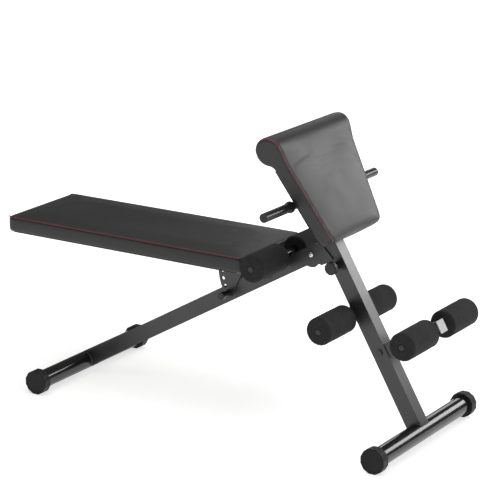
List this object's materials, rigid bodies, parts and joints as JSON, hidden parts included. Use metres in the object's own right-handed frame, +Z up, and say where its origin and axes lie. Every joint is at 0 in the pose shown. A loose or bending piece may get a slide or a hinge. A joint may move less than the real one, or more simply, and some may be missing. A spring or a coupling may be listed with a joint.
{
  "type": "decline sit up bench",
  "caption": "Folding sit up bench with a tilting flat board, a raised hip pad on a sliding post with side handles, and foam leg rollers.",
  "frame": {"origin": "middle of the object's box, on the floor that the four foot caps rest on", "axes": "+X from the rear foot to the front foot, +Y across the bench to the side away from the pull knobs, +Z up"},
  "size_m": [1.2472, 0.536, 0.7724],
  "materials": {
    "black_steel": "satin black powder coat",
    "gloss_black_steel": "gloss black enamel",
    "zinc_steel": "black zinc plated",
    "axle_steel": "bright drawn steel",
    "black_plastic": "moulded black plastic",
    "cap_plastic": "moulded black polyethylene",
    "grip_vinyl": "dipped gloss black vinyl",
    "vinyl": "black upholstery vinyl with dark red piping",
    "foam": "closed-cell black foam",
    "plywood": "raw plywood"
  },
  "bodies": {
    "front_frame": {"front_upright": "black_steel", "front_foot_bar": "gloss_black_steel", "front_foot_caps": "cap_plastic", "hinge_plates": "black_steel", "hinge_bush": "zinc_steel", "hinge_stop_pin": "zinc_steel", "roller_arm": "black_steel", "arm_end_cap": "black_plastic", "arm_bolt": "zinc_steel", "arm_nut": "zinc_steel", "front_axle": "axle_steel", "heel_axle_boss": "black_steel", "heel_axle": "axle_steel", "front_axle_caps": "black_plastic", "heel_axle_caps": "black_plastic", "post_bushing": "black_plastic", "height_barrel": "black_plastic"},
    "height_pull": {"height_pin": "zinc_steel", "height_spring": "zinc_steel", "height_knob": "black_plastic"},
    "rear_leg": {"rear_leg": "black_steel", "hinge_sleeve": "black_steel", "rear_foot_bar": "gloss_black_steel", "rear_foot_caps": "cap_plastic", "leg_end_plug": "black_plastic", "knee_axle": "axle_steel", "knee_axle_caps": "black_plastic", "pivot_sleeve": "black_steel", "lock_bracket": "black_steel", "lock_barrel": "black_plastic"},
    "lock_pull": {"lock_pin": "zinc_steel", "lock_spring": "zinc_steel", "lock_knob": "black_plastic"},
    "board": {"board_side_plates": "black_steel", "board_straps": "black_steel", "board_bolts": "zinc_steel", "board_base": "plywood", "board_cushion": "vinyl", "board_pivot_bolt": "zinc_steel", "board_pivot_nut": "zinc_steel"},
    "pad": {"pad_post": "black_steel", "post_plug": "black_plastic", "pad_brackets": "black_steel", "pad_bolts": "zinc_steel", "pad_base": "plywood", "pad_cushion": "vinyl", "handle_bar": "black_steel", "handle_grips": "grip_vinyl"},
    "front_foam_near": {"front_foam_near": "foam"},
    "front_foam_far": {"front_foam_far": "foam"},
    "heel_foam_near": {"heel_foam_near": "foam"},
    "heel_foam_far": {"heel_foam_far": "foam"},
    "knee_foam_near": {"knee_foam_near": "foam"},
    "knee_foam_far": {"knee_foam_far": "foam"}
  },
  "joints": [
    {"name": "frame_fold", "type": "hinge", "parent": "front_frame", "child": "rear_leg", "pos_m": [0.24733, 0, 0.44649], "axis": [0, -1, 0], "range_deg": [0, 72]},
    {"name": "board_tilt", "type": "hinge", "parent": "rear_leg", "child": "board", "pos_m": [0.11199, 0, 0.37296], "axis": [0, -1, 0], "range_deg": [0, 27]},
    {"name": "pad_height", "type": "slide", "parent": "front_frame", "child": "pad", "axis": [-0.5, 0, 0.866], "range_m": [0, 0.1]},
    {"name": "height_pin_pull", "type": "slide", "parent": "front_frame", "child": "height_pull", "axis": [0, 1, 0], "range_m": [0, 0.009], "stiffness_N_per_m": 400, "springref_m": 0.02, "deforming": ["height_spring"]},
    {"name": "lock_pin_pull", "type": "slide", "parent": "rear_leg", "child": "lock_pull", "axis": [0, 1, 0], "range_m": [0, 0.009], "stiffness_N_per_m": 400, "springref_m": 0.02, "deforming": ["lock_spring"]},
    {"name": "front_foam_near_spin", "type": "hinge", "parent": "front_frame", "child": "front_foam_near", "pos_m": [0.58818, 0, 0.30553], "axis": [0, 1, 0], "continuous": true},
    {"name": "front_foam_far_spin", "type": "hinge", "parent": "front_frame", "child": "front_foam_far", "pos_m": [0.58818, 0, 0.30553], "axis": [0, 1, 0], "continuous": true},
    {"name": "heel_foam_near_spin", "type": "hinge", "parent": "front_frame", "child": "heel_foam_near", "pos_m": [0.35693, 0, 0.30307], "axis": [0, 1, 0], "continuous": true},
    {"name": "heel_foam_far_spin", "type": "hinge", "parent": "front_frame", "child": "heel_foam_far", "pos_m": [0.35693, 0, 0.30307], "axis": [0, 1, 0], "continuous": true},
    {"name": "knee_foam_near_spin", "type": "hinge", "parent": "rear_leg", "child": "knee_foam_near", "pos_m": [0.16158, 0, 0.43046], "axis": [0, 1, 0], "continuous": true},
    {"name": "knee_foam_far_spin", "type": "hinge", "parent": "rear_leg", "child": "knee_foam_far", "pos_m": [0.16158, 0, 0.43046], "axis": [0, 1, 0], "continuous": true}
  ]
}
